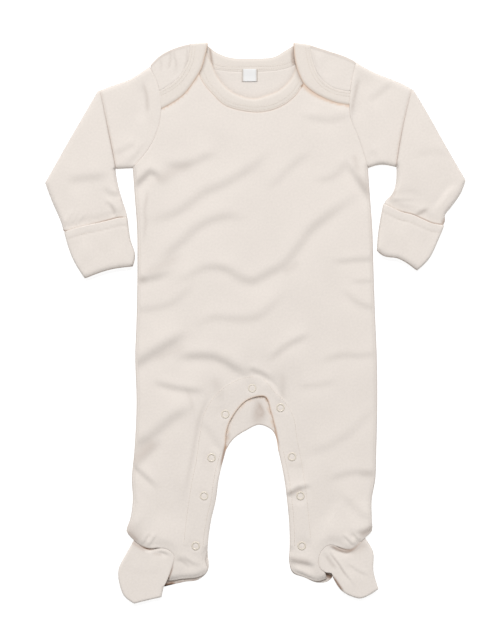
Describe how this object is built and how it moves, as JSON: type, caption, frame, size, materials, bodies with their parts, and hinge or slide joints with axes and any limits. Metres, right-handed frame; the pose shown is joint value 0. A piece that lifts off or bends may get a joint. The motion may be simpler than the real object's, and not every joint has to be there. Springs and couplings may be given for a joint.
{
  "type": "footed baby sleepsuit",
  "caption": "Long-sleeved footed baby sleepsuit in cream knit with lap shoulders, turned cuffs and ring snaps down the inner legs, laid flat face up.",
  "frame": {"origin": "on the surface that the garment lies on, under the middle of its outline", "axes": "+X across to the right sleeve as seen from above, +Y up the body to the neck, +Z away from the surface"},
  "size_m": [0.4544, 0.6051, 0.0098],
  "materials": {
    "knit": "soft matt cotton interlock",
    "band": "doubled cotton interlock, stitched",
    "label": "woven satin tape, bare",
    "snap": "satin enamel"
  },
  "bodies": {
    "root": {"back_panel": "knit", "front_panel": "knit", "sleeve_left": "knit", "sleeve_right": "knit", "cuff_left": "knit", "cuff_right": "knit", "foot_upper_left": "knit", "foot_upper_right": "knit", "foot_sole_left": "knit", "foot_sole_right": "knit", "front_neck_band": "band", "back_neck_band": "band", "neck_label": "label", "snap_crotch": "snap", "snap_left_1": "snap", "snap_left_2": "snap", "snap_left_3": "snap", "snap_left_4": "snap", "snap_right_1": "snap", "snap_right_2": "snap", "snap_right_3": "snap", "snap_right_4": "snap"}
  },
  "joints": []
}
